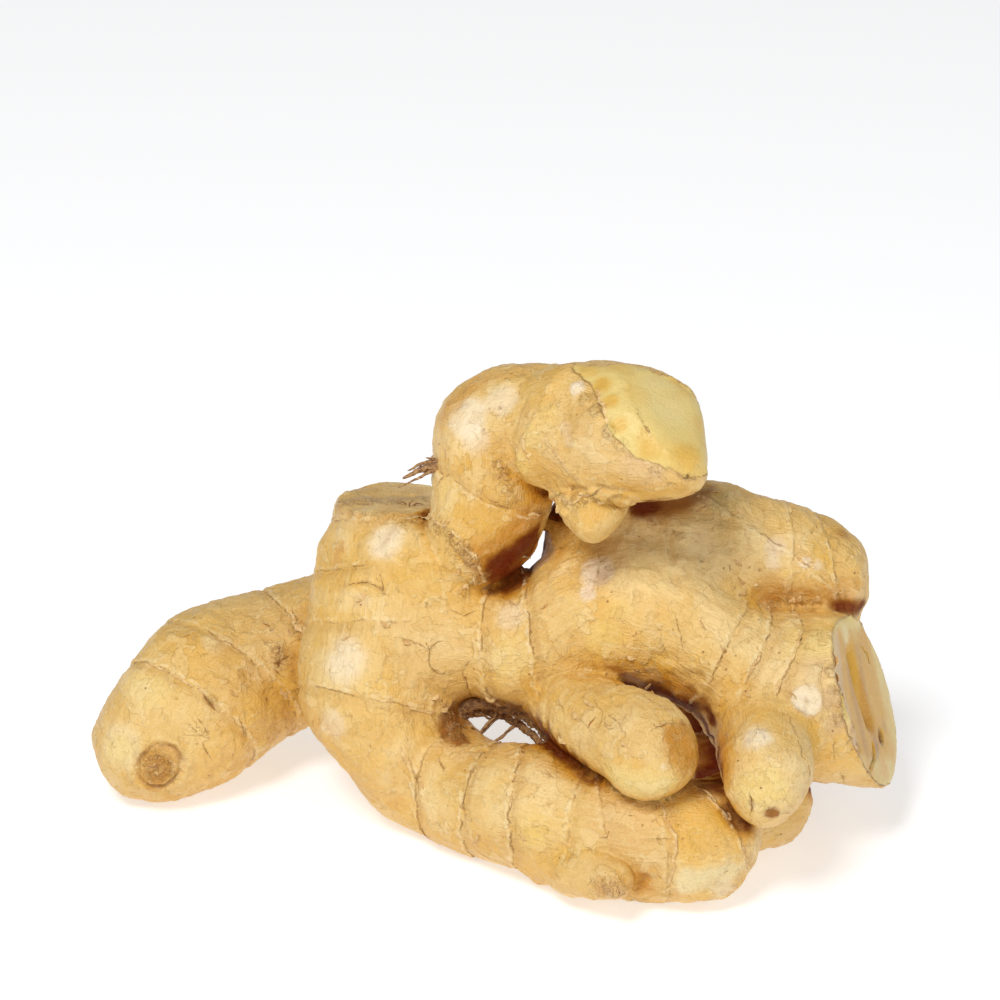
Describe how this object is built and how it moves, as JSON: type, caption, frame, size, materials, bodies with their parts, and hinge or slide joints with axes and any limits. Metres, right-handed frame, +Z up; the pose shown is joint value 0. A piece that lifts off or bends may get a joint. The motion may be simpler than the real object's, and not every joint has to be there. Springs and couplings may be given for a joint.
{
  "type": "ginger root",
  "caption": "Fresh ginger rhizome lying on its fingers, with a stem stump, broken and rounded finger ends, and skin over one solid body.",
  "frame": {"origin": "on the surface the rhizome lies on, under the middle of its outline", "axes": "+X along the hand, from the fat single finger towards the broken end; -Y is the broad front with the short fingers; +Z up"},
  "size_m": [0.1666, 0.0904, 0.1042],
  "materials": {
    "ginger_skin": "satin tan skin with papery rings, paler and moist where it is broken"
  },
  "bodies": {
    "root": {"rhizome": "ginger_skin"}
  },
  "joints": []
}
